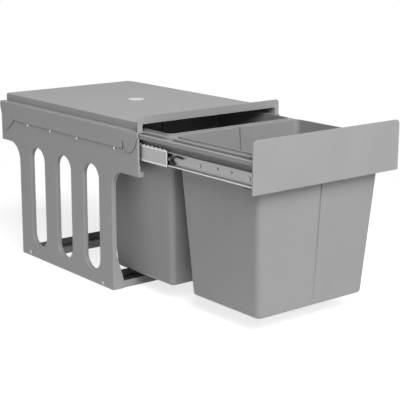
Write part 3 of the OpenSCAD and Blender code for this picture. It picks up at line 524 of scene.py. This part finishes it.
# %% [markdown]
# ## Sheet metal with eased edges
# A pressed sheet has no knife edges: bends have a radius, and cut edges are deburred and rounded by the
# powder coat. Those soft edges catch the light and are most of what makes sheet metal look real. The shapes
# are already right in the CAD model, so a merged copy of each node gets its edges bevelled: wide on the
# bends, fine on the cuts.

# %% Copy and ease
ON_PLANE = 0.05 * MM
JOIN = 0.002 * MM
FLAT_WITHIN = math.radians(0.5)


def cad_copy(node):
    """A merged copy of a CAD node, with its triangles joined into flat faces."""
    bm = bmesh.new()
    bm.from_mesh(NODES[node].data)
    bmesh.ops.remove_doubles(bm, verts=bm.verts, dist=JOIN)
    bmesh.ops.dissolve_limit(bm, angle_limit=FLAT_WITHIN, verts=bm.verts, edges=bm.edges,
                             delimit={"NORMAL"})
    return bm


def box_of(bm):
    """Lowest and highest corner of the mesh."""
    return [Vector([pick(v.co[k] for v in bm.verts) for k in range(3)]) for pick in (min, max)]


def outer_x(bm, sign):
    """The x that is furthest from the middle plane, on the side of the sign."""
    return sign * max(abs(corner.x) for corner in box_of(bm))


def turned_edges(bm, angle=30.0, shortest=0.5 * MM):
    """Edges where the surface turns by more than the angle, without the short ones of small round holes."""
    return [e for e in bm.edges if len(e.link_faces) == 2 and e.calc_face_angle(0.0) > math.radians(angle)
            and e.calc_length() > shortest]


def edges_at_x(bm, x, angle=30.0, shortest=0.5 * MM):
    """Turned edges that lie in the plane at x."""
    return [e for e in turned_edges(bm, angle, shortest) if all(abs(v.co.x - x) < ON_PLANE for v in e.verts)]


def ease(bm, edges, width, segments=2):
    """Rounds the edges by the width."""
    if edges:
        bmesh.ops.bevel(bm, geom=edges, offset=width, offset_type="OFFSET", affect="EDGES", segments=segments,
                        profile=0.5, material=-1, clamp_overlap=True)


def eased_piece(name, node, width, segments=2):
    """A piece that is its CAD node with every turned edge rounded."""
    bm = cad_copy(node)
    ease(bm, turned_edges(bm), width, segments)
    return finish_piece(bm, name, node)


print("copy test", len(cad_copy("front_panel").faces), "faces")

# %% [markdown]
# Rolled lips and hems come back on several pieces. Only the outer half of such a lip shows, so a round bar
# laid along y inside the sheet's edge does for it. The cone operator makes the bar, with the same radius at
# both ends.

# %% Rolled lips and hems


def bar(bm, radius, start, end, segments=12, mark=0):
    """A closed round bar between two points, with its faces marked for a finish."""
    along = end - start
    place = Matrix.Translation((start + end) / 2) @ along.to_track_quat("Z", "Y").to_matrix().to_4x4()
    verts = bmesh.ops.create_cone(bm, cap_ends=True, segments=segments, radius1=radius, radius2=radius,
                                  depth=along.length, matrix=place)["verts"]
    for face in {f for v in verts for f in v.link_faces}:
        face.material_index = mark


def bead(bm, radius, x, z, y0, y1, segments=14, mark=0):
    """A bar along y."""
    bar(bm, radius, Vector((x, y0, z)), Vector((x, y1, z)), segments, mark)


bar_test = bmesh.new()
bead(bar_test, 1.0 * MM, 0.0, 0.0, 0.0, 0.1)
print("bar", len(bar_test.faces), "faces")
bar_test.free()

# %% [markdown]
# ## Front panel
# The front panel is a thick plate with a rounded edge all round, so every edge gets a wide easing.

# %% Front panel
PLATE_EDGE = 0.8 * MM
report(eased_piece("front_plate", "front_panel", PLATE_EDGE, 3))

# %% [markdown]
# ## Side panels
# A side panel is pressed from thin sheet: the edges of its legs and of its three long slots are turned
# inwards, so from outside every opening has a soft rounded lip. The lip is an edge of the outermost plane,
# so it is found by its x, and it alone gets an easing.

# %% Side panels
LIP = 1.1 * MM
# Each dart's place along y, its height and half its length
DARTS = ((146.0 * MM, 230.5 * MM, 16.0 * MM), (-139.0 * MM, 232.5 * MM, 6.0 * MM))
DART_RISE = 0.9 * MM
DART_HALF_H = 1.6 * MM
DART_TILT = -8.0


def press_darts(bm, x):
    """Small pressed darts beside the outer slots that stiffen the sheet: long low domes at x."""
    for y, z, half in DARTS:
        place = Matrix.Translation((x, y, z)) @ Matrix.Rotation(math.radians(DART_TILT), 4, "X")
        bmesh.ops.create_uvsphere(bm, u_segments=16, v_segments=10, radius=1.0,
                                  matrix=place @ Matrix.Diagonal((DART_RISE, half, DART_HALF_H, 1.0)))


for side, sign in SIDES:
    node = side + "_side_panel"
    skin = cad_copy(node)
    outermost = outer_x(skin, sign)
    ease(skin, edges_at_x(skin, outermost), LIP, 3)
    press_darts(skin, outermost)
    report(finish_piece(skin, side + "_pressed_side", node, 50.0))

# %% [markdown]
# ## Top rails
# The band along a side panel's top is a strip whose outer face stands proud, with two tapered tabs. Its
# outline is only seen because it stands out, is rounded at its edge and leaves a thin dark gap to the panel
# below. So the outer plane is drawn out a little, its edges are eased, and thin bars of a dark grey lie in
# the gap along the band's lower outline: a painted shadow of the gap.

# %% Top rails
PROUD = 1.3 * MM
BAND_TOP_BEND = 1.6 * MM
BAND_EDGE = 0.5 * MM
SHADOW_BAR_RADIUS = 0.7 * MM
BELOW_TOP = 5.0 * MM
NEAR_TOP = 0.1 * MM
# Dark grey of the bars in the gap under the band: painted shadow.
GAP_PAINTED_SHADOW = finish_material("band_gap_painted_shadow", grey(108), 0.7)
for side, sign in SIDES:
    node = side + "_top_rail"
    strip = cad_copy(node)
    top_z = box_of(strip)[1].z
    outermost = outer_x(strip, sign)
    outer = [v for v in strip.verts if abs(v.co.x - outermost) < ON_PLANE]
    shadow_bar_lines = [[v.co.copy() for v in e.verts] for e in edges_at_x(strip, outermost)
             if all(v.co.z < top_z - BELOW_TOP for v in e.verts)]
    bmesh.ops.translate(strip, verts=outer, vec=(sign * PROUD, 0, 0))
    rim = edges_at_x(strip, outermost + sign * PROUD)
    top = [e for e in rim if all(v.co.z > top_z - NEAR_TOP for v in e.verts)]
    ease(strip, top, BAND_TOP_BEND, 4)
    ease(strip, edges_at_x(strip, outermost + sign * PROUD), BAND_EDGE, 2)
    # Thin dark bars along the band's lower outline: painted shadow of the gap.
    for start, end in shadow_bar_lines:
        bar(strip, SHADOW_BAR_RADIUS, start, end, mark=1)
    report(finish_piece(strip, side + "_folded_band", node, 50.0, GAP_PAINTED_SHADOW))
    print("dark bars", len(shadow_bar_lines))

# %% [markdown]
# ## Slide rivets
# A rivet's head is a low dome that stands off the panel, so that it catches the light. The heads' outer faces
# are drawn out, their rims are eased, and all that stands out gets a lighter zinc colour, a painted
# highlight.

# %% Rivets
RIVET_DOME = 1.0 * MM
RIVET_EDGE = 0.5 * MM
RIVET_SHORTEST = 0.1 * MM
heads = cad_copy("slide_rivets")
far_x = outer_x(heads, 1)
for sign in (-1, 1):
    caps = [v for v in heads.verts if abs(v.co.x - sign * far_x) < ON_PLANE]
    bmesh.ops.translate(heads, verts=caps, vec=(sign * RIVET_DOME, 0, 0))
    rims = edges_at_x(heads, sign * (far_x + RIVET_DOME), shortest=RIVET_SHORTEST)
    ease(heads, rims, RIVET_EDGE, 2)
# The faces that stand out get a lighter zinc colour: a painted highlight.
for face in heads.faces:
    if abs(face.calc_center_median().x) > far_x:
        face.material_index = 1
report(finish_piece(heads, "domed_rivets", "slide_rivets", second=ZINC_PAINTED_HIGHLIGHT))

# %% [markdown]
# ## Cover
# The cover is a shallow pressed lid. Its upper edge is a bend with a real radius, wider than the eased
# edges of the bezel in front.

# %% Cover
LID_BEND = 3.0 * MM
BEZEL_EDGE = 0.6 * MM
BEZEL_WITHIN = 2.5 * MM
PAST_BEZEL = 3.0 * MM
lid = cad_copy("top_cover")
front_y = box_of(lid)[0].y
lid_top = max(v.co.z for v in lid.verts if v.co.y > front_y + PAST_BEZEL)
print("lid top at %.1f mm" % (lid_top / MM))
lid_bend = [e for e in turned_edges(lid)
            if all(abs(v.co.z - lid_top) < ON_PLANE and v.co.y > front_y + PAST_BEZEL for v in e.verts)]
ease(lid, lid_bend, LID_BEND, 5)
bezel_edges = [e for e in turned_edges(lid) if all(v.co.y < front_y + BEZEL_WITHIN for v in e.verts)]
ease(lid, bezel_edges, BEZEL_EDGE, 2)
report(finish_piece(lid, "pressed_cover", "top_cover"))

# %% [markdown]
# ## Carrier rails
# The bins hang on two folded rails. The upper edge of a rail's outer lip is hemmed: the sheet is folded
# over, which makes it safe to touch, and the round hem catches a long highlight. The hem also gets a
# lighter colour, a painted highlight.

# %% Carrier rails
HEM = 1.4 * MM
HEM_IN = 0.9 * MM
RAIL_EDGE = 0.3 * MM
NEAR_LIP = 0.1 * MM
for side, sign in SIDES:
    node = side + "_carrier_rail"
    rail = cad_copy(node)
    low, high = box_of(rail)
    lip_x = outer_x(rail, sign)
    lip_top = max(v.co.z for v in rail.verts if abs(v.co.x - lip_x) < NEAR_LIP)
    ease(rail, turned_edges(rail), RAIL_EDGE)
    # The hem bar gets a lighter colour: a painted highlight.
    bead(rail, HEM, lip_x - sign * HEM_IN, lip_top - HEM, low.y, high.y, 18, mark=1)
    report(finish_piece(rail, side + "_hemmed_rail", node, second=HEM_PAINTED_HIGHLIGHT))

# %% [markdown]
# ## Cross rails, base bars and brackets
# These are cut and folded strips. A fine easing is enough for them. The base bars are shallow trays whose
# upward faces inside get a dark grey, painted shade, and the brackets get a darker grey, painted shade under
# the slide's lip. Both change the look alone, and the slots stay as they are.

# %% Folded strips
STRIP_EDGE = 0.4 * MM
BRACKET_EDGE = 0.25 * MM
CROSS_RAILS = ("front_cross_rail", "middle_cross_rail", "rear_cross_rail")
BASE_BARS = ("front_base_bar", "rear_base_bar")
BRACKETS = ("left_panel_bracket", "right_panel_bracket")
strips = {}
for node in CROSS_RAILS + BASE_BARS + BRACKETS:
    width = BRACKET_EDGE if node in BRACKETS else STRIP_EDGE
    strips[node] = eased_piece(node + "_folded", node, width)
    report(strips[node])

# %% Painted shade on trays and brackets
TRAY_PAINTED_SHADE = finish_material("base_bar_tray_painted_shade", grey(70), 0.6)
BRACKET_PAINTED_SHADE = finish_material("bracket_painted_shade", grey(138), 0.6)
FACING_UP = 0.9
# The upward faces inside the trays get a dark grey: painted shade.
for node in BASE_BARS:
    tray = strips[node].data
    middle_z = sum(v.co.z for v in tray.vertices) / len(tray.vertices)
    tray.materials.append(TRAY_PAINTED_SHADE)
    inside = [face for face in tray.polygons if face.normal.z > FACING_UP and face.center.z < middle_z]
    for face in inside:
        face.material_index = 1
    print(node, "tray faces", len(inside), "below %.1f mm" % (middle_z / MM))
# The brackets get a darker grey: painted shade under the slide's lip.
for node in BRACKETS:
    strips[node].data.materials[0] = BRACKET_PAINTED_SHADE

# %% [markdown]
# ## Ball cages
# A ball cage is a thin bright strip that keeps the balls apart. Its web is stiffened by a shallow pressed
# field, so the outer edges stand up as a frame, and the frame gets a lighter zinc colour, a painted
# highlight.
# Inset region makes it in two steps: one draws the face in and leaves the frame, and one pushes the rest
# down.

# %% Ball cages
FIELD_SLOPE = 1.0 * MM
FACING_OUT = 0.99
CAGE_FRAME = 3.0 * MM
CAGE_FIELD = 0.3 * MM
CAGE_EDGE = 0.12 * MM
CAGE_TURN = 50.0
CAGE_SHORTEST = 2.0 * MM
CAGE_BEAD = 0.6 * MM
BEAD_IN = 0.7 * MM
WEB_IN = 0.5 * MM
LIP_SIDES = 16


def press_field(bm, x, margin, depth):
    """Presses a shallow field into the large faces at x, and marks the frame around it for a painted
    highlight.
    """
    flat = [f for f in bm.faces
            if abs(f.normal.x) > FACING_OUT and abs(f.calc_center_median().x - x) < ON_PLANE]
    if flat:
        drawn = bmesh.ops.inset_region(bm, faces=flat, thickness=margin, depth=0.0, use_even_offset=True)
        for face in drawn["faces"]:
            face.material_index = 1
        bmesh.ops.inset_region(bm, faces=flat, thickness=FIELD_SLOPE, depth=-depth, use_even_offset=True)
    return len(flat)


for side, sign in SIDES:
    for place in ("outer", "inner"):
        node = side + "_" + place + "_cage"
        cage = cad_copy(node)
        low, high = box_of(cage)
        outermost = outer_x(cage, sign)
        fields = press_field(cage, outermost, CAGE_FRAME, CAGE_FIELD)
        ease(cage, turned_edges(cage, CAGE_TURN, CAGE_SHORTEST), CAGE_EDGE, 1)
        web_x = outermost - sign * WEB_IN
        if place == "outer":
            bead(cage, CAGE_BEAD, web_x, low.z + BEAD_IN, low.y, high.y, LIP_SIDES)
            bead(cage, CAGE_BEAD, web_x, high.z - BEAD_IN, low.y, high.y, LIP_SIDES)
        report(finish_piece(cage, side + "_" + place + "_pressed_cage", node, 30.0, ZINC_PAINTED_HIGHLIGHT))
        print("pressed fields", fields)

# %% [markdown]
# ## Slide members
# The three members of a ball slide are rolled from zinc-plated strip. Their lips are rounded by the
# rollers, and those thin bright lines are what a slide shows from a distance. The inner member's lips and
# the middle member's frame get a lighter zinc colour, a painted highlight.

# %% Slide members
LOWER_LIP = 1.2 * MM
UPPER_LIP = 0.6 * MM
LIP_IN = 0.8 * MM
SLIDE_EDGE = 0.25 * MM
MIDDLE_FRAME = 2.4 * MM
MIDDLE_FIELD = 0.5 * MM
for side, sign in SIDES:
    for member in ("outer", "middle", "inner"):
        node = side + "_slide_" + member
        slide = cad_copy(node)
        low, high = box_of(slide)
        if member == "middle":
            press_field(slide, outer_x(slide, sign), MIDDLE_FRAME, MIDDLE_FIELD)
        ease(slide, turned_edges(slide), SLIDE_EDGE)
        if member == "inner":
            lip_x = outer_x(slide, sign) - sign * LIP_IN
            # The lip bars get a lighter zinc colour: a painted highlight.
            bead(slide, LOWER_LIP, lip_x, low.z + LOWER_LIP, low.y, high.y, LIP_SIDES, mark=1)
            bead(slide, UPPER_LIP, lip_x, high.z - UPPER_LIP, low.y, high.y, LIP_SIDES, mark=1)
        report(finish_piece(slide, node + "_rolled", node, second=ZINC_PAINTED_HIGHLIGHT))
